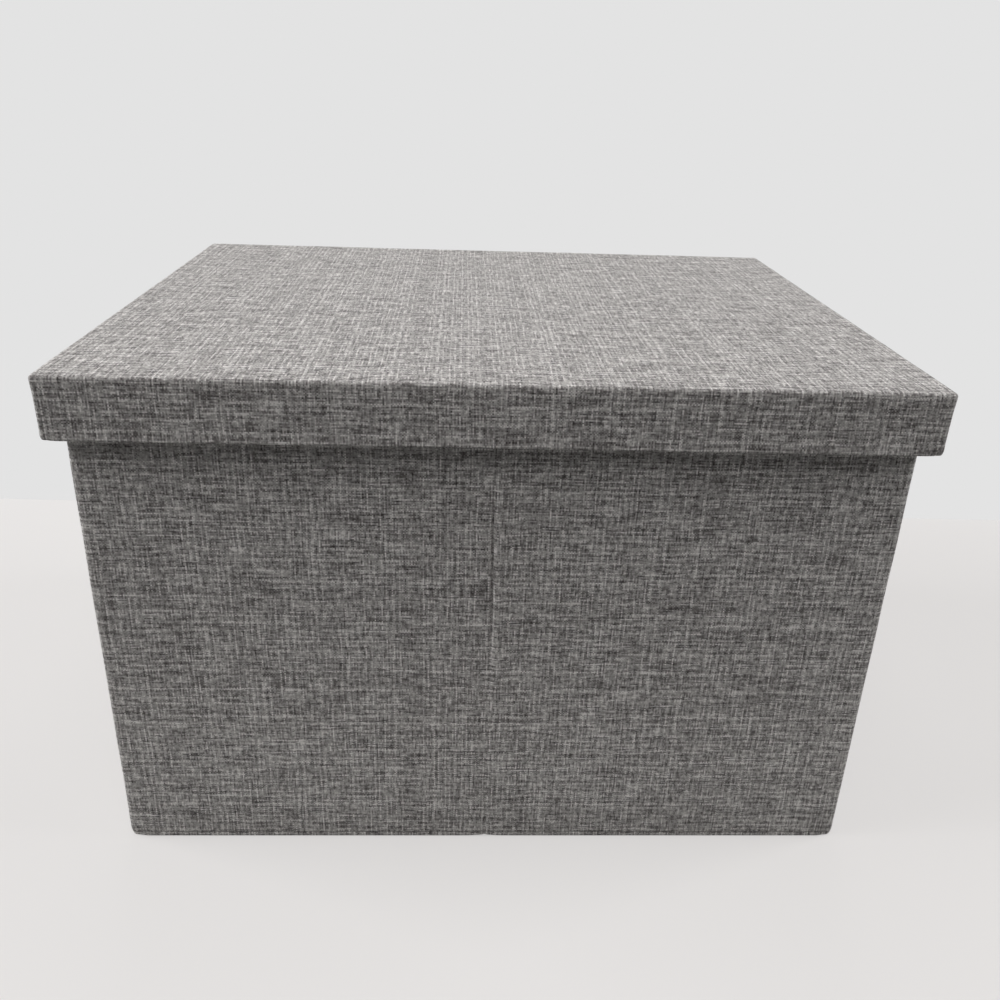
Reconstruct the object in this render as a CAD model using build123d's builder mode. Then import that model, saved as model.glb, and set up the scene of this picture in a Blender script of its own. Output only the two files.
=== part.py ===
"""File box of linen-covered board with a lift-off lid, whose walls fold in at a centre crease.

Millimetres. The origin is on the ground under the middle of the box, +Z is up and the wide
front wall faces -Y. The walls are stiff boards between an outer linen cover and an inner
lining. They hinge on their cloth: at the four corners and at one crease in the middle of the
front wall and one in the middle of the back wall.
"""

import os

from build123d import *

# Body, outside
body_width = 390.0
body_depth = 312.0

# Whole box, with its lid on
total_height = 264.0

# Sheet goods
board_thickness = 2.4
linen_thickness = 0.6
lining_thickness = 0.5

# Walls
turn_in_depth = 22.0
crease_gap = 6.0
crease_dip = 1.3
fold_clearance = 0.3

# Floor and loose base board
base_board_thickness = 1.8
base_wrap_thickness = 0.3
base_board_clearance = 1.0
floor_edge_radius = 1.2

# Lid
lid_overhang = 8.0
lid_rim_height = 29.0
lid_corner_radius = 4.5
lid_top_edge_radius = 1.8
lid_hem_depth = 12.0
lid_rest_gap = 0.3

# Rails for hanging files, clipped over the side walls
rail_wall = 1.4
rail_clip_clearance = 0.15
rail_outer_flange = 12.0
rail_inner_flange = 18.0
rail_rib_height = 6.0
rail_rib_width = 2.6
rail_end_setback = 40.0
rail_flange_corner_radius = 5.0

# Hand-hole grips in the side walls
grip_hole_length = 88.0
grip_hole_height = 30.0
grip_sleeve_wall = 1.6
grip_flange_width = 8.0
grip_flange_thickness = 1.4
grip_fit_clearance = 0.2
grip_drop_below_lid = 46.0

# Sizes that follow
wall_thickness = board_thickness + 2 * linen_thickness
half_width = body_width / 2
half_depth = body_depth / 2
inner_half_width = half_width - wall_thickness
inner_half_depth = half_depth - wall_thickness
half_crease = crease_gap / 2

base_top = linen_thickness + base_board_thickness + 2 * base_wrap_thickness
wall_bottom = base_top + fold_clearance

lid_width = body_width + 2 * lid_overhang
lid_depth = body_depth + 2 * lid_overhang
lid_bottom = total_height - lid_rim_height
lid_board_bottom = total_height - linen_thickness - board_thickness
lid_ceiling = lid_board_bottom - lining_thickness
rail_top = lid_ceiling - lid_rest_gap
wall_top = rail_top - rail_rib_height - rail_wall
wall_height = wall_top - wall_bottom
grip_centre_height = lid_bottom - grip_drop_below_lid

os.makedirs("parts", exist_ok=True)


def save(builder, name):
    """Labels a finished piece and writes it under its name."""
    builder.part.label = name
    export_step(builder.part, f"parts/{name}.step")


def wall_plane(start, outward):
    """Section plane of a wall: x runs outward from the inner face, y runs up."""
    return Plane(origin=start, x_dir=outward, z_dir=(outward[1], -outward[0], 0))


def section_box(low, high):
    """Adds a rectangle between two corners (outward, up) of a wall's section."""
    width = high[0] - low[0]
    height = high[1] - low[1]
    with Locations(((low[0] + high[0]) / 2, (low[1] + high[1]) / 2)):
        Rectangle(width, height)


def hand_hole(plane, length, hole_length, hole_height):
    """Returns the outline of a side wall's hand hole, on its inner face halfway along it."""
    middle = plane.origin + plane.z_dir * (length / 2)
    face = Plane(origin=middle, x_dir=plane.z_dir, z_dir=plane.x_dir)
    with BuildSketch(face) as hole:
        with Locations((0, wall_bottom - grip_centre_height)):
            SlotOverall(hole_length, hole_height)
    return hole.sketch


def wall_layers(name, start, outward, length, has_hand_hole=False):
    """Makes the board, linen cover and lining of one stiff wall panel."""
    plane = wall_plane(start, outward)
    board_in = linen_thickness
    board_out = linen_thickness + board_thickness
    hole_length = grip_hole_length + 2 * (grip_sleeve_wall + grip_fit_clearance)
    hole_height = grip_hole_height + 2 * (grip_sleeve_wall + grip_fit_clearance)
    hole = hand_hole(plane, length, hole_length, hole_height)

    with BuildPart() as board:
        with BuildSketch(plane):
            section_box((board_in, linen_thickness), (board_out, wall_height - linen_thickness))
        extrude(amount=length)
        if has_hand_hole:
            extrude(hole, amount=2 * wall_thickness, both=True, mode=Mode.SUBTRACT)
    save(board, f"{name}_board")

    # The linen covers the outside, goes under the foot and turns in over the top edge.
    with BuildPart() as cover:
        with BuildSketch(plane):
            section_box((board_out, 0), (wall_thickness, wall_height))
            section_box((board_in, 0), (board_out, linen_thickness))
            section_box((0, wall_height - linen_thickness), (board_out, wall_height))
            section_box((0, wall_height - turn_in_depth), (board_in, wall_height))
        extrude(amount=length)
        if has_hand_hole:
            extrude(hole, amount=2 * wall_thickness, both=True, mode=Mode.SUBTRACT)
    save(cover, f"{name}_cover")

    with BuildPart() as lining:
        with BuildSketch(plane):
            lining_in = board_in - lining_thickness
            section_box((lining_in, 0), (board_in, wall_height - turn_in_depth))
        extrude(amount=length)
        if has_hand_hole:
            extrude(hole, amount=2 * wall_thickness, both=True, mode=Mode.SUBTRACT)
    save(lining, f"{name}_lining")


def corner_hinge(name, side, end):
    """Makes the linen round one corner, a quarter turn about the fold line inside it."""
    fold_line = (side * inner_half_width, end * inner_half_depth)
    quadrant = (fold_line[0] + side * wall_thickness / 2, fold_line[1] + end * wall_thickness / 2)
    with BuildPart() as hinge:
        with BuildSketch(Plane.XY.offset(wall_bottom)):
            with Locations(fold_line):
                Circle(wall_thickness)
                Circle(wall_thickness - linen_thickness, mode=Mode.SUBTRACT)
            with Locations(quadrant):
                Rectangle(wall_thickness, wall_thickness, mode=Mode.INTERSECT)
        extrude(amount=wall_height)
        # The linen turned in over the top of the corner
        with BuildSketch(Plane.XY.offset(wall_top - linen_thickness)):
            with Locations(fold_line):
                Circle(wall_thickness)
            with Locations(quadrant):
                Rectangle(wall_thickness, wall_thickness, mode=Mode.INTERSECT)
        extrude(amount=linen_thickness)
    save(hinge, name)


def crease_hinge(name, end):
    """Makes the linen and the lining that bridge the boards at a wall's centre crease."""
    outer = end * half_depth
    dip = -end * crease_dip
    sheet = -end * linen_thickness
    with BuildPart() as linen:
        with BuildSketch(Plane.XY.offset(wall_bottom)):
            with BuildLine():
                ThreePointArc((-half_crease, outer), (0, outer + dip), (half_crease, outer))
                Line((half_crease, outer), (half_crease, outer + sheet))
                ThreePointArc(
                    (half_crease, outer + sheet),
                    (0, outer + dip + sheet),
                    (-half_crease, outer + sheet),
                )
                Line((-half_crease, outer + sheet), (-half_crease, outer))
            make_face()
        extrude(amount=wall_height)
    save(linen, f"{name}_crease_linen")

    lining_centre = end * (inner_half_depth + linen_thickness - lining_thickness / 2)
    with BuildPart() as lining:
        with BuildSketch(Plane.XY.offset(wall_bottom)):
            with Locations((0, lining_centre)):
                Rectangle(crease_gap, lining_thickness)
        extrude(amount=wall_height)
    save(lining, f"{name}_crease_lining")


# Walls: two side walls, and a front and a back wall in two halves each
half_length = inner_half_width - half_crease
side_length = 2 * inner_half_depth
wall_layers(
    "left_wall",
    (-inner_half_width, -inner_half_depth, wall_bottom),
    (-1, 0, 0),
    side_length,
    has_hand_hole=True,
)
wall_layers(
    "right_wall",
    (inner_half_width, inner_half_depth, wall_bottom),
    (1, 0, 0),
    side_length,
    has_hand_hole=True,
)
wall_layers("front_left", (-half_crease, -inner_half_depth, wall_bottom), (0, -1, 0), half_length)
wall_layers("front_right", (inner_half_width, -inner_half_depth, wall_bottom), (0, -1, 0), half_length)
wall_layers("back_left", (-inner_half_width, inner_half_depth, wall_bottom), (0, 1, 0), half_length)
wall_layers("back_right", (half_crease, inner_half_depth, wall_bottom), (0, 1, 0), half_length)

# Cloth at the folds
for side, side_name in ((-1, "left"), (1, "right")):
    for end, end_name in ((-1, "front"), (1, "back")):
        corner_hinge(f"{end_name}_{side_name}_corner_linen", side, end)
crease_hinge("front", -1)
crease_hinge("back", 1)

# Floor: a linen sheet with a folded hem round its edge, which the walls stand over
with BuildPart() as floor_cloth:
    with BuildSketch():
        RectangleRounded(body_width, body_depth, wall_thickness)
    extrude(amount=base_top)
    fillet(floor_cloth.faces().sort_by(Axis.Z)[0].edges(), floor_edge_radius)
    with BuildSketch(Plane.XY.offset(linen_thickness)):
        Rectangle(2 * inner_half_width, 2 * inner_half_depth)
    extrude(amount=base_top, mode=Mode.SUBTRACT)
save(floor_cloth, "floor_cloth")

# Loose base board, wrapped, that stiffens the floor
wrap_width = 2 * (inner_half_width - base_board_clearance)
wrap_depth = 2 * (inner_half_depth - base_board_clearance)
core_bottom = linen_thickness + base_wrap_thickness
core_width = wrap_width - 2 * base_wrap_thickness
core_depth = wrap_depth - 2 * base_wrap_thickness
with BuildPart() as base_board:
    with BuildSketch(Plane.XY.offset(core_bottom)):
        Rectangle(core_width, core_depth)
    extrude(amount=base_board_thickness)
save(base_board, "base_board")

with BuildPart() as base_board_wrap:
    with BuildSketch(Plane.XY.offset(linen_thickness)):
        Rectangle(wrap_width, wrap_depth)
    extrude(amount=base_board_thickness + 2 * base_wrap_thickness)
    with BuildSketch(Plane.XY.offset(core_bottom)):
        Rectangle(core_width, core_depth)
    extrude(amount=base_board_thickness, mode=Mode.SUBTRACT)
save(base_board_wrap, "base_board_wrap")


def rail(name, side):
    """Makes the channel that clips over a side wall's top edge, with a rib for file hooks."""
    inner = -(rail_clip_clearance + rail_wall)
    outer = wall_thickness + rail_clip_clearance + rail_wall
    web_top = wall_height + rail_wall
    rib_centre = wall_thickness / 2
    length = side_length - 2 * rail_end_setback
    start = (side * inner_half_width, side * length / 2, wall_bottom)
    with BuildPart() as channel:
        with BuildSketch(wall_plane(start, (side, 0, 0))):
            section_box((inner, wall_height), (outer, web_top))
            section_box((inner, wall_height - rail_inner_flange), (inner + rail_wall, wall_height))
            section_box((outer - rail_wall, wall_height - rail_outer_flange), (outer, wall_height))
            section_box(
                (rib_centre - rail_rib_width / 2, web_top),
                (rib_centre + rail_rib_width / 2, web_top + rail_rib_height),
            )
        extrude(amount=length)
        # Rounded lower corners of both flanges, and a rounded crest for the hooks to slide on
        across = channel.edges().filter_by(Axis.X).group_by(Axis.Z)
        fillet(across[0] + across[1], rail_flange_corner_radius)
        crest = channel.edges().filter_by(Axis.Y).group_by(Axis.Z)[-1]
        fillet(crest, rail_rib_width * 0.4)
    save(channel, name)


rail("left_rail", -1)
rail("right_rail", 1)


def grip(name, side):
    """Makes the two plastic frames that clamp a hand hole's edge from both sides."""
    flange_length = grip_hole_length + 2 * (grip_sleeve_wall + grip_flange_width)
    flange_height = grip_hole_height + 2 * (grip_sleeve_wall + grip_flange_width)
    sleeve_length = grip_hole_length + 2 * grip_sleeve_wall
    sleeve_height = grip_hole_height + 2 * grip_sleeve_wall
    outer_face = Plane(
        origin=(side * half_width, 0, grip_centre_height), x_dir=(0, side, 0), z_dir=(side, 0, 0)
    )
    inner_face = Plane(
        origin=(side * inner_half_width, 0, grip_centre_height),
        x_dir=(0, side, 0),
        z_dir=(side, 0, 0),
    )
    with BuildPart() as outer_frame:
        with BuildSketch(outer_face):
            SlotOverall(flange_length, flange_height)
        extrude(amount=grip_flange_thickness)
        rim = outer_frame.faces().sort_by(Axis.X, reverse=side > 0)[0]
        fillet(rim.edges(), grip_flange_thickness * 0.6)
        with BuildSketch(outer_face):
            SlotOverall(sleeve_length, sleeve_height)
        extrude(amount=-(wall_thickness + grip_flange_thickness))
        with BuildSketch(outer_face.offset(grip_flange_thickness)):
            SlotOverall(grip_hole_length, grip_hole_height)
        extrude(amount=-(wall_thickness + 2 * grip_flange_thickness), mode=Mode.SUBTRACT)
    save(outer_frame, f"{name}_outer")

    with BuildPart() as inner_frame:
        with BuildSketch(inner_face):
            SlotOverall(flange_length, flange_height)
        extrude(amount=-grip_flange_thickness)
        rim = inner_frame.faces().sort_by(Axis.X, reverse=side < 0)[0]
        fillet(rim.edges(), grip_flange_thickness * 0.6)
        with BuildSketch(inner_face):
            SlotOverall(sleeve_length + grip_fit_clearance, sleeve_height + grip_fit_clearance)
        extrude(amount=-grip_flange_thickness, mode=Mode.SUBTRACT)
    save(inner_frame, f"{name}_inner")


grip("left_grip", -1)
grip("right_grip", 1)

# Lid boards: a top panel and four rim strips butted under it
lid_board_width = lid_width - 2 * linen_thickness
lid_board_depth = lid_depth - 2 * linen_thickness
lid_board_radius = lid_corner_radius - linen_thickness
rim_inner_width = lid_board_width - 2 * board_thickness
rim_inner_depth = lid_board_depth - 2 * board_thickness
rim_board_bottom = lid_bottom + linen_thickness
rim_board_height = lid_board_bottom - rim_board_bottom

with BuildPart() as lid_top_board:
    with BuildSketch(Plane.XY.offset(lid_board_bottom)):
        RectangleRounded(lid_board_width, lid_board_depth, lid_board_radius)
    extrude(amount=board_thickness)
    top_face = lid_top_board.faces().sort_by(Axis.Z)[-1]
    fillet(top_face.edges(), lid_top_edge_radius - linen_thickness)
save(lid_top_board, "lid_top_board")

for end, end_name in ((-1, "front"), (1, "back")):
    with BuildPart() as rim_board:
        with BuildSketch(Plane.XY.offset(rim_board_bottom)):
            RectangleRounded(lid_board_width, lid_board_depth, lid_board_radius)
            with Locations((0, end * (lid_board_depth - board_thickness) / 2)):
                Rectangle(lid_board_width, board_thickness, mode=Mode.INTERSECT)
        extrude(amount=rim_board_height)
    save(rim_board, f"lid_{end_name}_rim_board")

for side, side_name in ((-1, "left"), (1, "right")):
    with BuildPart() as rim_board:
        with BuildSketch(Plane.XY.offset(rim_board_bottom)):
            RectangleRounded(lid_board_width, lid_board_depth, lid_board_radius)
            with Locations((side * (lid_board_width - board_thickness) / 2, 0)):
                Rectangle(board_thickness, rim_inner_depth, mode=Mode.INTERSECT)
        extrude(amount=rim_board_height)
    save(rim_board, f"lid_{side_name}_rim_board")

# Lid linen: over the top, down the rim, under its edge and turned in as a hem
hem_inner_width = rim_inner_width - 2 * linen_thickness
hem_inner_depth = rim_inner_depth - 2 * linen_thickness
with BuildPart() as lid_cover:
    with BuildSketch(Plane.XY.offset(lid_bottom)):
        RectangleRounded(lid_width, lid_depth, lid_corner_radius)
    extrude(amount=lid_rim_height)
    fillet(lid_cover.faces().sort_by(Axis.Z)[-1].edges(), lid_top_edge_radius)
    with BuildSketch(Plane.XY.offset(rim_board_bottom)):
        RectangleRounded(lid_board_width, lid_board_depth, lid_board_radius)
    extrude(amount=rim_board_height, mode=Mode.SUBTRACT)
    add(lid_top_board.part, mode=Mode.SUBTRACT)
    with BuildSketch(Plane.XY.offset(lid_bottom)):
        Rectangle(hem_inner_width, hem_inner_depth)
    extrude(amount=linen_thickness, mode=Mode.SUBTRACT)
    with BuildSketch(Plane.XY.offset(lid_bottom)):
        Rectangle(rim_inner_width, rim_inner_depth)
        Rectangle(hem_inner_width, hem_inner_depth, mode=Mode.SUBTRACT)
    extrude(amount=lid_hem_depth)
save(lid_cover, "lid_cover")

# Lid lining: the ceiling and the inside of the rim above the hem
lining_bottom = lid_bottom + lid_hem_depth
with BuildPart() as lid_lining:
    with BuildSketch(Plane.XY.offset(lining_bottom)):
        Rectangle(rim_inner_width, rim_inner_depth)
    extrude(amount=lid_board_bottom - lining_bottom)
    with BuildSketch(Plane.XY.offset(lining_bottom)):
        Rectangle(rim_inner_width - 2 * lining_thickness, rim_inner_depth - 2 * lining_thickness)
    extrude(amount=lid_ceiling - lining_bottom, mode=Mode.SUBTRACT)
save(lid_lining, "lid_lining")
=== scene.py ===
import bpy
import numpy as np
from mathutils import Matrix, Vector


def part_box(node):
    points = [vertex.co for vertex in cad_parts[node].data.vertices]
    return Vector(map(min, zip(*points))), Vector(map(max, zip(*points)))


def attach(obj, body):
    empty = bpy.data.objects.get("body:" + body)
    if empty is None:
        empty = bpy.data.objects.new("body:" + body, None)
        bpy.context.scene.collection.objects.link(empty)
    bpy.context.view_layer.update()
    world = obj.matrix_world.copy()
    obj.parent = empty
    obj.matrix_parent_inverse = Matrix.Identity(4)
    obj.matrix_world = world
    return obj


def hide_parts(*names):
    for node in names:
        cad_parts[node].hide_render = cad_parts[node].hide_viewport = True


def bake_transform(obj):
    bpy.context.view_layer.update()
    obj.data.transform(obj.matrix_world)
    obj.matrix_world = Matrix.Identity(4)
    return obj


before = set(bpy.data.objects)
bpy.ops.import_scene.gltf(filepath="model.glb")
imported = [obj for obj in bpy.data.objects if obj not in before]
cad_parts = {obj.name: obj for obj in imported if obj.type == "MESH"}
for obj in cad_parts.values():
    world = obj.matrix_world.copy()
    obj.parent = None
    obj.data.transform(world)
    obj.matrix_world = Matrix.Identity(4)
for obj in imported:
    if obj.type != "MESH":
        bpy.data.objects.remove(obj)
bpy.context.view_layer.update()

scene = bpy.context.scene
scene.view_settings.view_transform = "Standard"


# Camera
# It stands in front of the box, a little left of its middle and above the lid, and looks
# down at the front wall. Its place, turn and lens come from the photograph's perspective.
camera_data = bpy.data.cameras.new("camera")
camera_data.sensor_width = 36.0
camera_data.lens = 34.30
camera = bpy.data.objects.new("camera", camera_data)
scene.collection.objects.link(camera)
camera_right = (0.99896, -0.03278, 0.03157)
camera_up = (-0.01507, 0.41620, 0.90915)
camera_back = (-0.04294, -0.90868, 0.41528)
camera_place = (-0.01833, -0.55988, 0.39022)
camera_axes = Matrix((camera_right, camera_up, camera_back)).transposed().to_4x4()
camera.matrix_world = Matrix.Translation(camera_place) @ camera_axes
scene.camera = camera


# Lid linen
# One sheet of grey slub linen is glued over the lid's boards, folded down the four rims,
# round their lower edges and turned in as a hem. At the corners the side flaps lie on top.
def linear(colour):
    """Linear RGBA of an sRGB hex colour: the sRGB curve undone for each channel."""
    value = np.array([int(colour[i : i + 2], 16) for i in (1, 3, 5)]) / 255
    low = value / 12.92
    high = ((value + 0.055) / 1.055) ** 2.4
    return (*np.where(value <= 0.04045, low, high).tolist(), 1.0)


def add(tree, kind, inputs=None, **settings):
    """Adds a node; inputs gives each socket a value, a node (for its first output) or an output."""
    node = tree.nodes.new(kind)
    for setting, value in settings.items():
        setattr(node, setting, value)
    for socket, value in (inputs or {}).items():
        if isinstance(value, bpy.types.Node):
            value = value.outputs[0]
        if isinstance(value, bpy.types.NodeSocket):
            tree.links.new(value, node.inputs[socket])
        else:
            node.inputs[socket].default_value = value
    return node


def colours_along(tree, value, stops):
    """A colour ramp from (position, hex colour) stops, read at value."""
    colour = add(tree, "ShaderNodeValToRGB", {"Fac": value})
    ramp = colour.color_ramp
    while len(ramp.elements) < len(stops):
        ramp.elements.new(1.0)
    for element, (position, shade) in zip(ramp.elements, stops):
        element.position = position
        element.color = linear(shade)
    return colour


def blank_material(name):
    """A new material of that name with an empty node tree, and the tree."""
    material = bpy.data.materials.new(name)
    material.use_nodes = True
    material.node_tree.nodes.clear()
    return material, material.node_tree


def surfaced(tree, bump, look):
    """Ends a material: a bump with these inputs, the principled surface it shapes, and the output."""
    relief = add(tree, "ShaderNodeBump", bump)
    surface = add(tree, "ShaderNodeBsdfPrincipled", {**look, "Normal": relief})
    add(tree, "ShaderNodeOutputMaterial", {"Surface": surface})


# Linen-look cloth in a plain weave, of grey yarns with about one pale yarn in four both ways.
# Each yarn changes slowly from dark to pale along its length, the weft over longer runs than
# the warp, which gives a grid of broken pale and dark lines. The yarns are drawn 0.72 mm
# apart, a little coarser than real ones, so that they show.
yarn_pitch = 0.00072
linen, tree = blank_material("slub_linen_plain_weave")
place = add(tree, "ShaderNodeUVMap", uv_map="thread")
counted = add(tree, "ShaderNodeVectorMath", {0: place, "Scale": 1 / yarn_pitch}, operation="SCALE")
# The yarns wander by about half their pitch over some 20 mm, as woven yarns do. This rate and
# those that follow are per yarn.
wander_rate = 0.035
wander_width = 2.0
drift = add(tree, "ShaderNodeTexNoise", {"Vector": counted, "Scale": wander_rate, "Detail": 1.0})
drift = drift.outputs["Color"]
centred = add(tree, "ShaderNodeVectorMath", {0: drift, 1: (0.5, 0.5, 0.5)}, operation="SUBTRACT")
wander = add(tree, "ShaderNodeVectorMath", {0: centred, "Scale": wander_width}, operation="SCALE")
woven = add(tree, "ShaderNodeVectorMath", {0: counted, 1: wander}, operation="ADD")
split = add(tree, "ShaderNodeSeparateXYZ", {0: woven})
across, along = split.outputs[0], split.outputs[1]
warp = add(tree, "ShaderNodeMath", {0: across}, operation="FLOOR")
weft = add(tree, "ShaderNodeMath", {0: along}, operation="FLOOR")
warp_side = add(tree, "ShaderNodeMath", {0: across}, operation="FRACT")
weft_side = add(tree, "ShaderNodeMath", {0: along}, operation="FRACT")
# At every other crossing the warp is on top.
steps = add(tree, "ShaderNodeMath", {0: warp, 1: weft}, operation="ADD")
halved = add(tree, "ShaderNodeMath", {0: steps, 1: 2.0}, operation="FLOORED_MODULO")
warp_on_top = add(tree, "ShaderNodeMath", {0: halved, 1: 0.5}, operation="LESS_THAN")
# Tone of each yarn: pale or dark, and a slower change along it, over 10 mm for warp and 12 mm
# for weft. Neighbours read their noise 0.62 apart, so that a streak is about two yarns wide.
warp_change = 0.075
weft_change = 0.06
neighbour_change = 0.62
weft_offset = 3.7
pale_share = 0.25
pale_waver = 0.13
pale_lift = 0.11
tones = []
for number, run, change in ((warp, along, warp_change), (weft, across, weft_change)):
    own = add(tree, "ShaderNodeMath", {0: number, 1: neighbour_change}, operation="MULTIPLY")
    slow = add(tree, "ShaderNodeMath", {0: run, 1: change}, operation="MULTIPLY")
    where = add(tree, "ShaderNodeCombineXYZ", {0: own, 1: slow, 2: weft_offset * len(tones)})
    slub = add(
        tree,
        "ShaderNodeTexNoise",
        {"Vector": where, "Scale": 1.0, "Detail": 3.0, "Roughness": 0.72},
    )
    waver = add(tree, "ShaderNodeTexNoise", {"W": number, "Scale": pale_waver}, noise_dimensions="1D")
    order = add(tree, "ShaderNodeMath", {0: number, 1: pale_share, 2: waver}, operation="MULTIPLY_ADD")
    order = add(tree, "ShaderNodeMath", {0: order}, operation="FRACT")
    is_pale = add(tree, "ShaderNodeMath", {0: order, 1: pale_share}, operation="LESS_THAN")
    own_tone = {0: is_pale, 1: pale_lift, 2: slub}
    tones.append(add(tree, "ShaderNodeMath", own_tone, operation="MULTIPLY_ADD"))
# The yarn on top gives three quarters of the tone, as the one below shows beside it.
top_part = 0.75
warp_part = add(
    tree,
    "ShaderNodeMath",
    {0: warp_on_top, 1: 2 * top_part - 1, 2: 1 - top_part},
    operation="MULTIPLY_ADD",
)
shade = add(tree, "ShaderNodeMix", {0: warp_part, 2: tones[1], 3: tones[0]})
# The yarn on top is round across its width and humps over the one below. Both are half sines,
# made fuller by a power below 1.
hump_across = add(tree, "ShaderNodeMix", {0: warp_on_top, 2: weft_side, 3: warp_side})
hump_along = add(tree, "ShaderNodeMix", {0: warp_on_top, 2: warp_side, 3: weft_side})
humps = []
for side, power in ((hump_across, 0.6), (hump_along, 0.9)):
    turned = add(tree, "ShaderNodeMath", {0: side, 1: np.pi}, operation="MULTIPLY")
    wave = add(tree, "ShaderNodeMath", {0: turned}, operation="SINE")
    humps.append(add(tree, "ShaderNodeMath", {0: wave, 1: power}, operation="POWER"))
crown = add(tree, "ShaderNodeMath", {0: humps[0], 1: humps[1]}, operation="MULTIPLY")
# Fuzz softens the yarns over about two of them, and faint clouds lie over some 6 to 16 mm.
fuzz_rate = 0.42
cloud_rates = (0.045, 0.11, 1.0)
fuzz = add(
    tree,
    "ShaderNodeTexNoise",
    {"Vector": woven, "Scale": fuzz_rate, "Detail": 1.0, "Roughness": 0.6},
)
stretched = add(tree, "ShaderNodeVectorMath", {0: counted, 1: cloud_rates}, operation="MULTIPLY")
clouds = add(tree, "ShaderNodeTexNoise", {"Vector": stretched, "Scale": 1.0, "Detail": 2.0})
# The crown's share of the tone is painted shade: the yarns' tops a little paler and the gaps between
# them darker. The clouds and the fuzz are the yarns' own tone.
for part, weight in ((crown, 0.03), (clouds, 0.10), (fuzz, 0.30)):
    shade = add(tree, "ShaderNodeMath", {0: part, 1: weight, 2: shade}, operation="MULTIPLY_ADD")
linen_colour = colours_along(
    tree,
    shade,
    [(0.536, "#413d3c"), (0.661, "#7c7877"), (0.798, "#c1bebc"), (0.890, "#eeebe9")],
)
height = add(tree, "ShaderNodeMath", {0: fuzz, 1: 0.5, 2: crown}, operation="MULTIPLY_ADD")
surfaced(
    tree,
    {"Height": height, "Strength": 0.8, "Distance": 0.00010},
    {
        "Base Color": linen_colour,
        "Roughness": 0.86,
        "Specular IOR Level": 0.25,
        "Sheen Weight": 0.18,
        "Sheen Roughness": 0.45,
    },
)


def arc(centre, radius, start, turn, steps):
    """Points (out, up) of a circular arc about centre, from start through turn, in degrees."""
    angle = np.radians(np.linspace(start, start + turn, steps + 1))
    return np.stack([np.cos(angle), np.sin(angle)], 1) * radius + centre


def joined(*runs):
    """One profile (out, up) from runs of points, without the doubled ends."""
    points = np.concatenate([np.atleast_2d(run) for run in runs])
    gap = np.linalg.norm(np.diff(points, axis=0), axis=1)
    return points[np.concatenate([[True], gap > 1e-7])]


def flat_face(out, heights):
    """Points (out, up) of a profile's straight face, at each of the heights."""
    return np.stack([np.full(len(heights), out), heights], 1)


def run_along(profile):
    """Length along a profile up to each of its points: the summed distances between them."""
    return np.concatenate([[0], np.cumsum(np.linalg.norm(np.diff(profile, axis=0), axis=1))])


def grown(value, start, over):
    """0 at start and 1 at start + over, even between them and level outside."""
    return np.clip((value - start) / over, 0, 1)


def between(value, low, high, edge):
    """1 from low + edge to high - edge, falling evenly to 0 at low and at high."""
    return grown(value, low, edge) * grown(value, high, -edge)


def bell(distance, width):
    """exp(-(distance / width) squared): 1 in the middle and nearly 0 past twice the width."""
    return np.exp(-((distance / width) ** 2))


ripple_height = 0.00006


def ripple(across, along):
    """How far glued cloth stands off its board: three crossing sines, 30 to 80 mm long."""
    first = np.sin(across / 0.0132 + along / 0.049 + 0.4)
    second = np.sin(along / 0.0107 - across / 0.037 + 1.9)
    third = 0.7 * np.sin(across / 0.0059 + along / 0.0081 + 2.6)
    return ripple_height * (first + second + third)


def grid_faces(rows, columns):
    """Quads of a grid of points that run row by row, each as its four corners' numbers."""
    first = (np.arange(rows - 1)[:, None] * columns + np.arange(columns - 1)).ravel()
    return np.stack([first, first + 1, first + columns + 1, first + columns], 1)


def made_mesh(name, points, faces, thread):
    """A mesh from points, quads and each quad corner's place in the flat cloth, in metres."""
    used, order = np.unique(faces, return_inverse=True)
    mesh = bpy.data.meshes.new(name)
    mesh.from_pydata(points[used].tolist(), [], order.reshape(faces.shape).tolist())
    layer = mesh.uv_layers.new(name="thread")
    layer.data.foreach_set("uv", thread.astype(np.float32).ravel())
    mesh.validate()
    piece = bpy.data.objects.new(name, mesh)
    scene.collection.objects.link(piece)
    return piece


sharp_angle = 50.0


def finished(piece, material, thickness=0.0):
    """Gives a surface its thickness inwards, its material and smooth shading up to sharp_angle."""
    if thickness:
        wall = piece.modifiers.new("thickness", "SOLIDIFY")
        wall.thickness = thickness
        wall.offset = -1.0
        wall.use_even_offset = True
        bpy.context.view_layer.update()
        solid = piece.evaluated_get(bpy.context.evaluated_depsgraph_get())
        mesh = bpy.data.meshes.new_from_object(solid)
        piece.modifiers.clear()
        piece.data = mesh
        mesh.name = piece.name
    piece.data.materials.clear()
    piece.data.materials.append(material)
    piece.data.shade_smooth()
    piece.data.set_sharp_from_angle(angle=np.radians(sharp_angle))


def spaced(low, high, step):
    """Even positions from low to high, about step apart."""
    return np.linspace(low, high, max(2, int(round((high - low) / step)) + 1))


def mirrored(half):
    """Positions on both sides of the middle, from those on one side, which start at 0."""
    return np.concatenate([-half[:0:-1], half])


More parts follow.
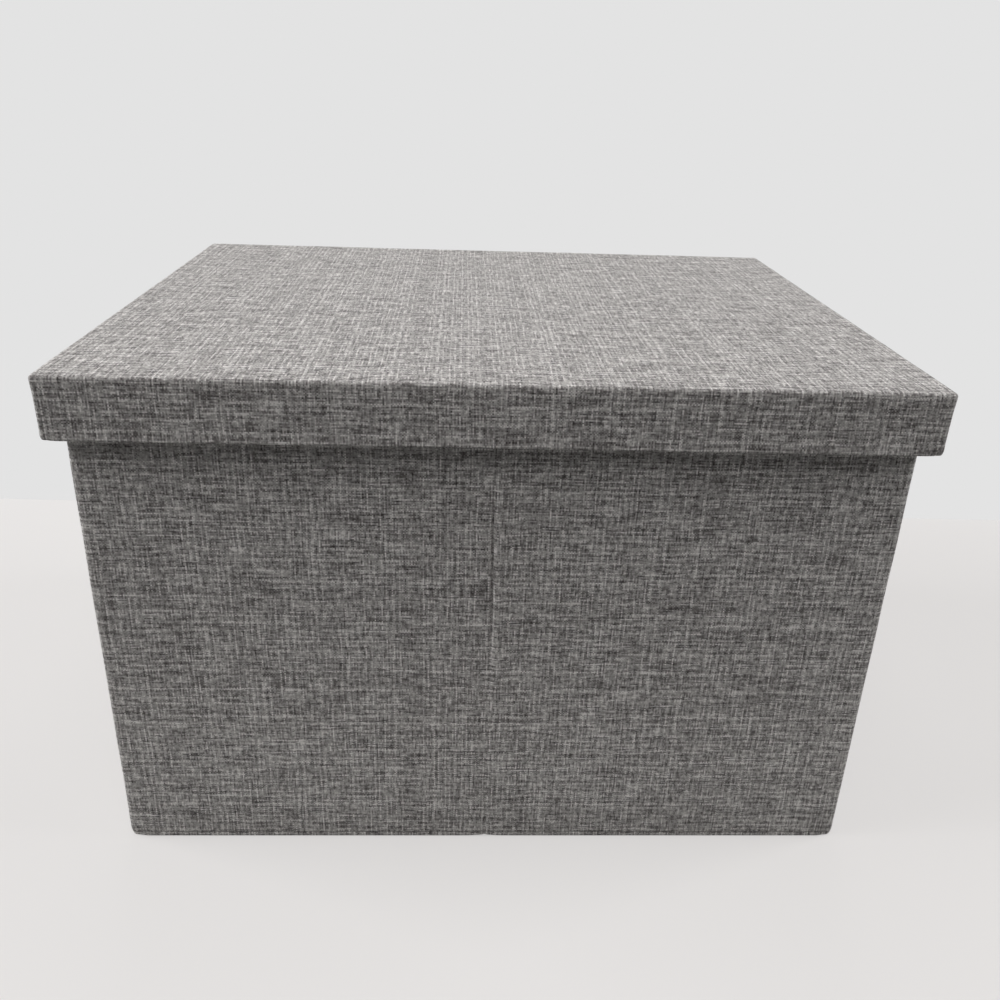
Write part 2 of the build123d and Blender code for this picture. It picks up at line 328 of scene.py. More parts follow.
def folded_sheet(name, half, radius, profile, grid, inward=False, shaped=None, inset=0):
    """A rectangular sheet folded over the four sides of a box with rounded corners.

    The flat sheet is a grid: its lines in x and in y, or the step of even ones. Past
    half - radius a grid line follows the profile, which gives (out, up) from the corner's
    centre line. In a corner the further of the two distances chooses the point of the
    profile, and their ratio the angle round the corner, so that squares of the grid become
    quarter rings. Each side's flap keeps its own threads. inset moves the centre line in at
    each point of the profile, for a hem inside a sharper corner. shaped changes (out, up),
    and inward turns the faces to the inside of the fold.
    """
    inset = inset + np.zeros(len(profile))
    run = run_along(profile - np.stack([inset, 0 * inset], 1))

    def lines(inner, edge):
        """Grid lines, with the run past both edges, and the point of the profile of each."""
        flat = np.concatenate([-edge - run[:0:-1], inner, edge + run[1:]])
        past_edge = np.arange(1, len(run))
        return flat, np.concatenate([past_edge[::-1], np.zeros(len(inner), int), past_edge])

    edge_x, edge_y = half[0] - radius, half[1] - radius
    if isinstance(grid, float):
        grid = [spaced(-edge, edge, grid) for edge in (edge_x, edge_y)]
    flat_x, index_x = lines(grid[0], edge_x)
    flat_y, index_y = lines(grid[1], edge_y)
    x, y = np.meshgrid(flat_x, flat_y)
    i, j = np.meshgrid(index_x, index_y)
    ring = np.maximum(i, j)
    past_x, past_y = run[i], run[j]
    far = np.maximum(past_x, past_y)
    share = np.minimum(past_x, past_y) / np.maximum(far, 1e-9)
    angle = np.where(past_x >= past_y, share, 2 - share) * np.pi / 4
    out, up = profile[ring, 0], profile[ring, 1]
    side_x, side_y = np.sign(x), np.sign(y)
    centre_x = np.minimum(np.abs(x), edge_x) * (1 - inset[ring] / edge_x)
    centre_y = np.minimum(np.abs(y), edge_y) * (1 - inset[ring] / edge_y)
    if shaped is not None:
        out, up = shaped(x, y, past_x, past_y, angle, out, up)
    place_x = side_x * (centre_x + out * np.cos(angle))
    place_y = side_y * (centre_y + out * np.sin(angle))
    top = np.stack([place_x, place_y], -1)
    turned = out * angle
    flap_x = np.stack([side_x * (edge_x + far), side_y * (centre_y + turned)], -1)
    left_over = out * (np.pi / 2 - angle)
    flap_y = np.stack([side_x * (centre_x + left_over), side_y * (edge_y + far)], -1)
    faces = grid_faces(*x.shape)
    mean_x = past_x.ravel()[faces].mean(1)
    mean_y = past_y.ravel()[faces].mean(1)
    maps = np.stack([flat.reshape(-1, 2)[faces] for flat in (top, flap_x, flap_y)])
    on_top = np.maximum(mean_x, mean_y) < 0.6 * radius
    chosen = np.where(on_top, 0, np.where(mean_x >= mean_y, 1, 2))
    thread = maps[chosen, np.arange(len(faces))]
    if inward:
        faces = faces[:, ::-1]
        thread = thread[:, ::-1]
    points = np.stack([place_x, place_y, up], -1)
    return made_mesh(name, points.reshape(-1, 3), faces, thread)


linen_thickness = 0.0006
lid_low, lid_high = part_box("lid_cover")
lid_half = (lid_high.x, lid_high.y)
lid_radius = 0.0026
rim_top_radius = 0.0018
rim_edge_radius = 0.0009
rim_thickness = 0.0036
lid_hem_depth = 0.012
hem_corner_radius = 0.0009
hem_inset = rim_thickness + hem_corner_radius - lid_radius
rim_edge_height = lid_low.z + rim_edge_radius
rim_rows = np.linspace(lid_high.z - 0.003, lid_low.z + 0.0048, 10)
edge_rows = np.linspace(lid_low.z + 0.0040, lid_low.z + 0.0014, 5)
hem_rows = np.linspace(lid_low.z + 0.003, lid_low.z + lid_hem_depth, 5)
lid_profile = joined(
    [(0, lid_high.z)],
    arc((lid_radius - rim_top_radius, lid_high.z - rim_top_radius), rim_top_radius, 90, -90, 7),
    flat_face(lid_radius, rim_rows),
    flat_face(lid_radius, edge_rows),
    arc((lid_radius - rim_edge_radius, rim_edge_height), rim_edge_radius, 0, -90, 4),
)
outer_count = len(lid_profile)
outer_run = run_along(lid_profile)[-1]
lid_profile = joined(
    lid_profile,
    arc((hem_corner_radius + rim_edge_radius, rim_edge_height), rim_edge_radius, -90, -90, 4),
    flat_face(hem_corner_radius, hem_rows),
)
lid_inset = np.zeros(len(lid_profile))
lid_inset[outer_count:] = hem_inset

rim_height = 0.029
flap_step = 0.00032
flap_edge = 0.0007
fold_swell = 0.0003
fold_height = 0.0010
fold_width = 0.0011
fold_drop = 0.0010
fold_drop_height = 0.004
round_depth = 0.0014
round_height = 0.0030
round_width = 0.0035
rim_lean = 0.00035
# The rim's flat face, as a stretch of the run over the edge, and where its outer side begins.
face_run = (0.006, 0.030)
outer_side = 0.0014
outer_fade = 0.0008


def lid_relief(x, y, past_x, past_y, angle, out, up):
    """Cloth on board: ripples on the top and front, and the rim's flaps, fold and corners.

    Past the side flaps' edges, just before the corners, the cloth is set back by flap_step.
    Round the lower edge it swells as a bell and hangs fold_drop lower. At the four corners
    that edge is drawn in as a quarter ellipse, round_depth by round_height. The rim leans in
    evenly from the top down, by rim_lean.
    """
    far = np.maximum(past_x, past_y)
    up = up + ripple(x, y) * grown(far, 0.004, -0.004)
    on_side = between(past_x, *face_run, 0.004)
    past_flap = grown(np.abs(y), lid_half[1] - lid_radius - flap_edge, 0.0005)
    out = out - flap_step * on_side * past_flap * np.clip(1.5 - angle, 0, 1)
    on_front = between(past_y, *face_run, 0.006)
    out = out + ripple(x, past_y) * on_front * (past_x == 0)
    fold = bell(up - lid_low.z - fold_height, fold_width) * grown(out, outer_side, outer_fade)
    beside_x = np.clip(lid_half[0] - lid_radius - np.abs(x), 0, None)
    beside_y = np.clip(lid_half[1] - lid_radius - np.abs(y), 0, None)
    by_corner = bell(np.maximum(beside_x, beside_y), round_width)
    outside = far < outer_run + 1e-6
    rise = grown(up, lid_low.z + round_height, -round_height)
    out = out - round_depth * (1 - np.sqrt(1 - rise**2)) * by_corner * outside
    up = up - fold_drop * grown(up, lid_low.z + fold_drop_height, -fold_drop_height)
    lean = rim_lean * grown(up, lid_high.z, -rim_height) * grown(out, outer_side, outer_fade)
    return out + fold_swell * fold * (1 - by_corner) - lean, up


flap_lines = np.array([-0.0035, -0.0018, -0.0011, -0.0007, -0.0004, -0.0002, 0.0])
lid_lines = []
for edge in (lid_half[0] - lid_radius, lid_half[1] - lid_radius):
    inner = spaced(-edge + 0.006, edge - 0.006, 0.006)
    lid_lines.append(np.concatenate([-edge - flap_lines[::-1], inner, edge + flap_lines]))
lid_linen = folded_sheet(
    "lid_linen",
    lid_half,
    lid_radius,
    lid_profile,
    grid=lid_lines,
    shaped=lid_relief,
    inset=lid_inset,
)
finished(lid_linen, linen, linen_thickness)
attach(lid_linen, "lid")
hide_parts("lid_cover")


# Lid lining
# A sheet of grey spunbond cloth is glued inside the lid, over the ceiling and down the rims
# to the linen's hem. It turns softly in the inner corners, where the sheet bridges them.
lining, tree = blank_material("spunbond_nonwoven_lining")
# Spunbond is pressed with rows of bond points, 1.4 mm apart and staggered. Its fibres lie in
# curls, and thicker and thinner patches of some 6 mm show as clouds.
bond_pitch = 0.0014
fibre_size = 0.000667
cloud_size = 0.00625
place = add(tree, "ShaderNodeUVMap", uv_map="thread")
counted = add(tree, "ShaderNodeVectorMath", {0: place, "Scale": np.pi / bond_pitch}, operation="SCALE")
split = add(tree, "ShaderNodeSeparateXYZ", {0: counted})
waves = []
for sign in (1.0, -1.0):
    diagonal = add(
        tree,
        "ShaderNodeMath",
        {0: split.outputs[1], 1: sign, 2: split.outputs[0]},
        operation="MULTIPLY_ADD",
    )
    waves.append(add(tree, "ShaderNodeMath", {0: diagonal}, operation="COSINE"))
both = add(tree, "ShaderNodeMath", {0: waves[0], 1: waves[1]}, operation="MULTIPLY")
bond = add(tree, "ShaderNodeMapRange", {"Value": both, "From Min": 0.45, "From Max": 0.85})
fibres = add(
    tree,
    "ShaderNodeTexNoise",
    {"Vector": place, "Scale": 1 / fibre_size, "Detail": 5.0, "Roughness": 0.7, "Distortion": 2.5},
)
clouds = add(
    tree,
    "ShaderNodeTexNoise",
    {"Vector": place, "Scale": 1 / cloud_size, "Detail": 3.0, "Roughness": 0.6},
)
mottled = add(tree, "ShaderNodeMix", {0: 0.4, 2: fibres, 3: clouds})
# The bond points are a little darker than the fibres, and sunk below them.
pressed = add(tree, "ShaderNodeMath", {0: bond, 1: -0.13, 2: mottled}, operation="MULTIPLY_ADD")
lining_colour = colours_along(
    tree, pressed, [(0.28, "#565554"), (0.50, "#7b7a79"), (0.72, "#989796")]
)
sunk = add(tree, "ShaderNodeMath", {0: bond, 1: -1.2, 2: fibres}, operation="MULTIPLY_ADD")
surfaced(
    tree,
    {"Height": sunk, "Strength": 0.6, "Distance": 0.00012},
    {
        "Base Color": lining_colour,
        "Roughness": 0.78,
        "Specular IOR Level": 0.3,
        "Sheen Weight": 0.08,
    },
)

lining_thickness = 0.0005
lining_low, lining_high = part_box("lid_lining")
ceiling = lining_high.z - lining_thickness
tray_half = (lining_high.x - lining_thickness, lining_high.y - lining_thickness)
tray_radius = 0.0030
bend = 0.0022
tray_profile = joined(
    [(0, ceiling)],
    arc((tray_radius - bend, ceiling - bend), bend, 90, -90, 6),
    flat_face(tray_radius, np.linspace(ceiling - bend - 0.002, lining_low.z, 4)),
)
loose_gap = 0.00012


def ceiling_relief(x, y, past_x, past_y, angle, out, up):
    """The lining hangs off the ceiling by half of loose_gap and a ripple, and not at the edges."""
    on_top = grown(np.maximum(past_x, past_y), 0.002, -0.002)
    return out, up - (loose_gap + ripple(y * 1.3, x)) * on_top * 0.5


lid_lining = folded_sheet(
    "lid_lining_cloth",
    tray_half,
    tray_radius,
    tray_profile,
    grid=0.008,
    inward=True,
    shaped=ceiling_relief,
)
finished(lid_lining, lining, lining_thickness)
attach(lid_lining, "lid")
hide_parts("lid_lining")


# Boards
# Grey chipboard from recycled paper, 2.4 mm thick, stiffens the lid, the walls and the floor.
# It is all covered, and shows grey-brown pulp with darker and paler flecks where it is bare.
greyboard, tree = blank_material("recycled_greyboard")
# The pulp lies in clumps of 2 to 3 mm, and the dark flecks about 1.5 mm apart.
pulp_size = 0.00238
fleck_spacing = 0.00154
place = add(tree, "ShaderNodeTexCoord").outputs["Object"]
pulp = add(
    tree,
    "ShaderNodeTexNoise",
    {"Vector": place, "Scale": 1 / pulp_size, "Detail": 5.0, "Roughness": 0.65},
)
flecks = add(tree, "ShaderNodeTexVoronoi", {"Vector": place, "Scale": 1 / fleck_spacing}, feature="F1")
speck = add(
    tree,
    "ShaderNodeMapRange",
    {"Value": flecks, "From Min": 0.12, "From Max": 0.30, "To Min": -0.22, "To Max": 0.0},
)
pulp_tone = add(tree, "ShaderNodeMath", {0: pulp, 1: speck}, operation="ADD")
board_colour = colours_along(
    tree, pulp_tone, [(0.25, "#5f584f"), (0.5, "#8a8377"), (0.75, "#a59e92")]
)
surfaced(
    tree,
    {"Height": pulp, "Strength": 0.3, "Distance": 0.0001},
    {"Base Color": board_colour, "Roughness": 0.9, "Specular IOR Level": 0.3},
)


def given(endings, material):
    """Gives the material to each solid whose name ends so."""
    for node_name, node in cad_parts.items():
        if node_name.endswith(endings):
            node.data.materials.clear()
            node.data.materials.append(material)


given("_board", greyboard)


# Wall linen
# The body's linen is one sleeve round the four walls. It is folded under their feet and over
# their top edges, where 22 mm is turned in. It has a soft valley down the middle of the front
# and the back, between the two boards there, and it bends there and at the corners.
wall_thickness = 0.0036
inner_half_width = 0.1914
inner_half_depth = 0.1524
half_crease = 0.003
wall_foot = 0.0031
wall_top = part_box("left_wall_cover")[1].z
turn_in = 0.022
foot_radius = 0.0006
foot_start = 0.0008
top_radius = 0.0013

# Section (out, up) of this linen: under the foot, up the outside, over the top and turned in.
outside = spaced(wall_foot + 0.002, wall_top - top_radius - 0.001, 0.005)
inside = np.linspace(wall_top - 0.003, wall_top - turn_in, 6)
wall_profile = joined(
    [(foot_start, wall_foot)],
    arc((wall_thickness - foot_radius, wall_foot + foot_radius), foot_radius, -90, 90, 4),
    flat_face(wall_thickness, outside),
    arc((wall_thickness - top_radius, wall_top - top_radius), top_radius, 0, 90, 5),
    arc((top_radius, wall_top - top_radius), top_radius, 90, 90, 5),
    flat_face(0, inside),
)

# The crease's line: heights, and its places beside the middle, seen from outside.
crease_heights = np.array([0.009, 0.050, 0.090, 0.130, 0.165, 0.192, 0.206, 0.230])
crease_places = np.array([-1.6, -2.4, -1.9, -1.1, -1.7, -2.1, -2.0, -1.3]) / 1000
faint_depth = 0.0001
sharp_depth = 0.0011
pinch_depth = 0.0015
pinch_height = 0.006
notch_width = 0.0006
ridge_width = 0.0040
ridge_fade = 0.008
ridge_rise = (0.0003, 0.0009)


def crease_depth(s, up):
    """How far in the cloth lies at a distance s from the middle, over the boards' gap.

    A notch with a bell for its section follows the line of crease_places, sharp from 120 to
    210 mm up and pinched deeper at the foot. To its right the cloth rises as a quarter sine,
    most from 130 to 220 mm up, and sinks back as an exponential.
    """
    beside = s - np.interp(up, crease_heights, crease_places)
    sharp = between(up, 0.118, 0.212, 0.020)
    pinch = bell(up - wall_foot - pinch_height, pinch_height)
    depth = faint_depth + sharp_depth * sharp + pinch_depth * pinch
    ridge = np.sin(np.pi / 2 * grown(beside, 0, ridge_width))
    ridge = ridge * np.exp(-np.clip(beside - ridge_width, 0, None) / ridge_fade)
    raised = grown(up, 0.060, 0.070) * grown(up, 0.240, -0.020)
    return depth * bell(beside, notch_width) - (ridge_rise[0] + ridge_rise[1] * raised) * ridge


def corner_inset(up, away):
    """How far the bottom of a corner is drawn in: a quarter ellipse, 1.8 mm over 6 mm of height.

    It fades as a bell with the distance away from the corner.
    """
    depth, height, fade = 0.0018, 0.0060, 0.005
    rise = np.clip(1 - up / height, 0, 1)
    return depth * (1 - np.sqrt(1 - rise**2)) * bell(away, fade)


grip_low, grip_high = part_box("left_grip_outer")
hole_height = (grip_low.z + grip_high.z) / 2
# Half the length and height of the hole in the cloth. Points within hole_snap of its edge are
# moved onto it, and the grid's finer rows lie within hole_zone of its middle.
hole_half = (0.0458, 0.0168)
hole_snap = 0.0014
hole_zone = 0.030


def beside_hole(along, up):
    """Moves points near the hand hole onto its edge, a slot with round ends.

    Returns the new positions and how far outside the hole each point is, 0 on its edge.
    """
    straight = hole_half[0] - hole_half[1]
    core = np.clip(along, -straight, straight)
    reach = np.maximum(np.hypot(along - core, up - hole_height), 1e-9)
    away = reach - hole_half[1]
    near = np.abs(away) < hole_snap
    ratio = np.where(near, hole_half[1] / reach, 1.0)
    new_along = core + (along - core) * ratio
    new_up = hole_height + (up - hole_height) * ratio
    return new_along, new_up, np.where(near, 0.0, away)


walls = {
    "front": ((0, -inner_half_depth, 0), (0, -1, 0)),
    "back": ((0, inner_half_depth, 0), (0, 1, 0)),
    "left": ((-inner_half_width, 0, 0), (-1, 0, 0)),
    "right": ((inner_half_width, 0, 0), (1, 0, 0)),
}
side_walls = ("left", "right")


def on_wall(wall, along, out, up):
    """Points in space from places on a wall: along it to the right, out of it, and up.

    walls gives the middle of each wall's inner face and its direction outwards.
    """
    middle, outward = np.array(walls[wall])
    right = np.array((-outward[1], outward[0], 0.0))
    points = middle + along[..., None] * right + out[..., None] * outward
    return (points + up[..., None] * np.array((0, 0, 1.0))).reshape(-1, 3)


def thread_heights(profile):
    """Length along a wall's section, counted so that it is the height on the outermost face."""
    run = run_along(profile)
    outermost = profile[:, 0] > profile[:, 0].max() - 1e-6
    return run - run[np.argmax(outermost)] + wall_foot


def on_outside(out):
    """1 on a wall's outer face, falling evenly to 0 at 0.6 mm inside it."""
    return grown(out, 0.0030, 0.0006)


corner_gap = 0.0002
inner_face = 0.0005
crease_hollow = 0.0004
crease_sag = 0.0012
crease_lift = 0.0004


def wall_sheet(name, wall, profile, around, inward=False):
    """A wall's cloth: the profile (out, up) carried along it, left to right seen from outside.

    around is the flat cloth's position at the wall's middle, so that the threads run on from
    wall to wall. On the side walls it has the hand hole. At the creases of the others it is
    slack: the bell over the gap hollows the inner face, sags at the top and lifts at the foot.
    """
    s = side_lines if wall in side_walls else creased_lines
    heights = thread_heights(profile)
    along, row = np.meshgrid(s, np.arange(len(heights)))
    out, up = profile[row, 0], profile[row, 1]
    outer = on_outside(out)
    flat = np.stack([around + along, heights[row]], -1)
    if wall in side_walls:
        by_middle = 0.0
        along, low, away = beside_hole(along, up)
        up = np.where(away == 0, low, up)
        away = np.where(np.abs(up - hole_height) < hole_zone, away, 1.0)
    else:
        by_middle = bell(along, 2 * half_crease)
        away = np.ones(out.shape)
        slack = bell(along, half_crease)
        over = grown(up, wall_top - 0.004, 0.004)
        under = grown(up, wall_foot + 0.001, -0.001) * outer
        out = out - crease_depth(along, up) * outer + crease_hollow * slack * (out < inner_face)
        up = up - crease_sag * slack * over + crease_lift * slack * under
    out = out + ripple(around + along, up) * outer * (1 - by_middle)
    out = out - corner_inset(up, s.max() - np.abs(along)) * outer
    # The hem and lining stop short of the corner line, which leaves the corner free to fold.
    at_end = (np.abs(along) > s.max() - 1e-6) & (out < inner_face)
    along = along - corner_gap * np.sign(along) * at_end
    faces = grid_faces(*along.shape)
    faces = faces[away.ravel()[faces].mean(1) > 0]
    if inward:
        faces = faces[:, ::-1]
    return made_mesh(name, on_wall(wall, along, out, up), faces, flat.reshape(-1, 2)[faces])


corner_length = wall_thickness * np.pi / 2
front_length = 2 * inner_half_width
side_length = 2 * inner_half_depth
side_around = inner_half_width + corner_length + inner_half_depth
back_around = side_around + inner_half_depth + corner_length + inner_half_width
crease_lines = np.concatenate([spaced(0.0, 0.0040, 0.0003), np.array([4.8, 6, 8, 10.5]) / 1000])
end_lines = inner_half_width - np.array([10, 7, 5, 3.5, 2.2, 1.2, 0.5, 0.0]) / 1000
half_wall = np.concatenate([crease_lines, spaced(0.0145, 0.1775, 0.005), end_lines])
creased_lines = mirrored(half_wall)

# Round the hand holes the grid is finer, along the wall and up it.
hole_step = 0.0025
hole_reach = (0.055, 0.0275)
hole_lines = spaced(-hole_reach[0], hole_reach[0], hole_step)
hole_rows = spaced(hole_height - hole_reach[1], hole_height + hole_reach[1], hole_step)
side_end_lines = end_lines - (inner_half_width - inner_half_depth)
side_half = np.concatenate([spaced(0.059, 0.1395, 0.005), side_end_lines])
side_lines = np.concatenate([-side_half[::-1], hole_lines, side_half])
on_face = wall_profile[:, 0] > wall_thickness - 1e-6
by_hole = on_face & (np.abs(wall_profile[:, 1] - hole_height) < hole_zone)
below_hole = wall_profile[: np.argmax(by_hole)]
above_hole = wall_profile[len(below_hole) + by_hole.sum() :]
side_profile = np.concatenate([below_hole, flat_face(wall_thickness, hole_rows), above_hole])


def wall_nodes(wall, kind, crease_kind=None):
    """Names of a wall's solids of a kind: one, or one on each panel and any over the crease."""
    if wall in side_walls:
        return [f"{wall}_wall_{kind}"]
    over_crease = [f"{wall}_crease_{crease_kind}"] if crease_kind else []
    return [f"{wall}_left_{kind}", f"{wall}_right_{kind}", *over_crease]


def carried(piece, wall):
    """A side piece rides with its wall; another, over the gap between two panels, keeps its place, its
    transform baked into its points.
    """
    if wall in side_walls:
        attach(piece, f"{wall}_wall")
    else:
        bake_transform(piece)


for wall, around in (
    ("front", 0.0),
    ("back", -back_around),
    ("left", -side_around),
    ("right", side_around),
):
    profile = side_profile if wall in side_walls else wall_profile
    cloth = wall_sheet(f"{wall}_linen", wall, profile, around)
    finished(cloth, linen, linen_thickness)
    carried(cloth, wall)
    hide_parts(*wall_nodes(wall, "cover", "linen"))


# Corner linen
# At each corner the sleeve turns a quarter round the fold line inside it, with no board
# behind. The sleeve's two ends meet at the back right: the outer one goes round the corner
# with the right wall, and the inner lap under it stays with the back wall when that folds.
corner_sag = 0.0005


def corner_sheet(name, profile, pivot, first, around, reach=1.0):
    """The wall's section turned a quarter about the fold line at pivot, from direction first.

    Its top edge sags as a sine in the middle of the turn. reach scales how far out it stands.
    """
    heights = thread_heights(profile)
    turn, row = np.meshgrid(np.linspace(0, np.pi / 2, 10), np.arange(len(heights)))
    out, up = profile[row, 0], profile[row, 1]
    outer = on_outside(out)
    along = around + turn * wall_thickness
    out = out + ripple(along, up) * outer
    out = (out - corner_inset(up, 0.0) * outer) * reach
    up = up - corner_sag * np.sin(2 * turn) * grown(up, wall_top - 0.004, 0.004)
    heading = np.arctan2(first[1], first[0]) + turn
    points = np.stack(
        [pivot[0] + out * np.cos(heading), pivot[1] + out * np.sin(heading), up], -1
    )
    flat = np.stack([along, heights[row]], -1)
    faces = grid_faces(*turn.shape)
    return made_mesh(name, points.reshape(-1, 3), faces, flat.reshape(-1, 2)[faces])


corner_profile = wall_profile[: -len(inside) - 2]
corners = (
    ("front", "right", (0, -1), inner_half_width, ("front_right_panel", "right_wall")),
    ("front", "left", (-1, 0), -inner_half_width - corner_length, ("left_wall", "front_left_panel")),
    ("back", "left", (0, 1), -back_around + inner_half_width, ("back_left_panel", "left_wall")),
    ("back", "right", (1, 0), side_around + inner_half_depth, None),
)
for depth_end, side, first, around, bodies in corners:
    pivot = (
        inner_half_width * (1 if side == "right" else -1),
        inner_half_depth * (1 if depth_end == "back" else -1),
    )
    node_name = f"{depth_end}_{side}_corner_linen"
    cloth = corner_sheet(f"{node_name}_turn", corner_profile, pivot, first, around)
    finished(cloth, linen, linen_thickness)
    if bodies:
        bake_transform(cloth)
    else:
        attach(cloth, "right_wall")
    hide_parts(node_name)

lap_drop = 0.0008
lap_reach = 0.82
lap_thickness = linen_thickness * 0.8
lap_profile = np.array(corner_profile)
lap_profile[:, 1] = np.minimum(lap_profile[:, 1], wall_top - lap_drop)
lap = corner_sheet(
    "back_right_corner_lap",
    lap_profile[:-3],
    (inner_half_width, inner_half_depth),
    (1, 0),
    -back_around - inner_half_width - corner_length,
    reach=lap_reach,
)
finished(lap, linen, lap_thickness)
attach(lap, "back_right_panel")

wall_lengths = {wall: side_length if wall in side_walls else front_length for wall in walls}


# Wall lining
# The same spunbond cloth lines the walls from the floor up to the linen's turned-in edge,
# which overlaps it and is sewn to it. Over the creases it hollows a little between the boards.
lining_out = 0.0001
lining_top = wall_top - turn_in
lining_cut = 0.228
past_rows = 0.032
plain_rows = spaced(wall_foot, lining_top, 0.006)
rows_below = spaced(wall_foot, hole_height - past_rows, 0.006)
rows_above = spaced(hole_height + past_rows, lining_top, 0.005)
side_rows = np.concatenate([rows_below, hole_rows, rows_above])
for wall in walls:
    profile = flat_face(lining_out, side_rows if wall in side_walls else plain_rows)
    cloth = wall_sheet(f"{wall}_lining_cloth", wall, profile, 0.0, inward=True)
    finished(cloth, lining, lining_thickness)
    carried(cloth, wall)
    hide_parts(*wall_nodes(wall, "lining", "lining"))
    size = (wall_lengths[wall], lining_cut)


# Hem stitches
# One row of lockstitches holds the linen's turned-in edge to the lining, 3 mm above the edge.
# Each is 3 mm of spun polyester thread that dips at its ends. The rows stop 16 mm short of the
# corners and 4 mm short of the creases, where the cloth folds on itself.
thread_material, tree = blank_material("spun_polyester_thread")
# The plies twist round each other every 0.7 mm. Their colour is painted shade, paler on the tops
# of the plies and darker between them. The texture's bands are 2 pi / 10 apart at a scale of 1.
twist_pitch = 0.000698
band_spacing = 2 * np.pi / 10
place = add(tree, "ShaderNodeTexCoord").outputs["Object"]
twist = add(
    tree,
    "ShaderNodeTexWave",
    {"Vector": place, "Scale": band_spacing / twist_pitch, "Distortion": 1.5, "Detail": 1.0},
    bands_direction="DIAGONAL",
).outputs["Fac"]
ply_shaded_thread_colour = colours_along(tree, twist, [(0.2, "#4f4c4a"), (0.8, "#8b8784")])
surfaced(
    tree,
    {"Height": twist, "Strength": 0.5, "Distance": 0.00008},
    {"Base Color": ply_shaded_thread_colour, "Roughness": 0.6, "Sheen Weight": 0.15},
)

stitch_pitch = 0.0036
stitch_length = 0.0030
stitch_rise = 0.00026
stitch_sink = 0.00010
thread_radius = 0.00022
above_hem_edge = 0.003
stitch_margin = 0.016
crease_clear = 0.0055


def stitch_row(name, wall, low, high):
    """A row of stitches along a wall's inner face, from low to high.

    Each is a short tube that rises as a half sine and dips into the cloth at its ends, where
    it narrows as the root of 1 less the fourth power.
    """
    sides, rings = 6, 6
    count = int((high - low) / stitch_pitch)
    centre = low + stitch_pitch * (np.arange(count) + 0.5)
    if wall not in side_walls:
        centre = centre[np.abs(centre) > crease_clear]
        count = len(centre)
    step = np.linspace(-1, 1, rings)
    rise = stitch_rise * np.cos(step * np.pi / 2) - stitch_sink
    swell = thread_radius * np.sqrt(np.clip(1 - (step * 0.96) ** 4, 0.05, 1))
    turn = np.arange(sides) * 2 * np.pi / sides
    along = centre[:, None, None] + stitch_length / 2 * step[None, :, None] + 0 * turn
    out = -(rise[:, None] + swell[:, None] * np.cos(turn))[None] + 0 * along
    up = lining_top + above_hem_edge + (swell[:, None] * np.sin(turn))[None] + 0 * along
    ring, side = np.meshgrid(np.arange(rings - 1), np.arange(sides), indexing="ij")
    here, ahead = ring * sides, (ring + 1) * sides
    after = (side + 1) % sides
    quad = np.stack([here + side, here + after, ahead + after, ahead + side], -1)
    caps = np.array([[0, 5, 4, 3], [3, 2, 1, 0]])
    ends = np.concatenate([caps, caps[:, ::-1] + (rings - 1) * sides])
    shape = np.concatenate([quad.reshape(-1, 4), ends])
    faces = (np.arange(count)[:, None, None] * rings * sides + shape).reshape(-1, 4)
    points = on_wall(wall, along, out, up)
    return made_mesh(name, points, faces, points[faces][..., :2])


for wall in walls:
    reach = wall_lengths[wall] / 2 - stitch_margin
    row = stitch_row(f"{wall}_hem_stitches", wall, -reach, reach)
    finished(row, thread_material)
    carried(row, wall)


# Floor linen
# The sleeve's bottom is a separate sheet of linen. Its edge is rolled into a hem that stands
# under the walls, with a small pucker where the front and back creases meet it.
floor_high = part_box("floor_cloth")[1]
hem_radius = wall_thickness
floor_radius = 0.0012
roll = 0.0003
hem_inside = 0.0001
floor_profile = joined(
    [(0, 0), (0.0012, 0)],
    arc((hem_radius - floor_radius, floor_radius), floor_radius, -90, 90, 6),
    [(hem_radius, 0.0018)],
    arc((hem_radius - roll, floor_high.z - roll), roll, 0, 90, 4),
    [(0.0018, floor_high.z)],
    arc((hem_inside + roll, floor_high.z - roll), roll, 90, 90, 4),
    [(hem_inside, 0.0008)],
)
floor_edge = (floor_high.x - hem_radius, floor_high.y - hem_radius)
pucker_lift = 0.0007
pucker_height = 0.0025
pucker_width = 0.0065
pucker_reach = 0.008
hem_pinch = 0.0006
hem_pinch_width = 0.0009


def floor_shape(x, y, past_x, past_y, angle, out, up):
    """Rounds the four bottom corners more, and lifts and pinches the hem under the creases.

    In the corners what lies outside hem_radius less corner_inset is drawn in by one factor.
    The lift and the pinch are bells along the hem, about the foot of the crease's line.
    """
    beside_x = np.clip(floor_edge[0] - np.abs(x), 0, None)
    beside_y = np.clip(floor_edge[1] - np.abs(y), 0, None)
    away = np.where(past_x >= past_y, beside_y, beside_x)
    corner = corner_inset(up, away)
    rise = np.clip(floor_radius - up, 0, floor_radius)
    plain = floor_radius - np.sqrt(floor_radius**2 - rise**2)
    room = np.maximum(hem_radius - np.maximum(corner, plain), 0.0002)
    out = out * np.where(past_x + past_y > 0, room / (hem_radius - plain), 1.0)
    beside = x - crease_places[0]
    pucker = bell(beside, pucker_width) * bell(beside_y, pucker_reach)
    up = up + pucker_lift * pucker * grown(up, pucker_height, -pucker_height)
    return out - hem_pinch * bell(beside, hem_pinch_width) * (past_y > 0) * (out > 0.002), up


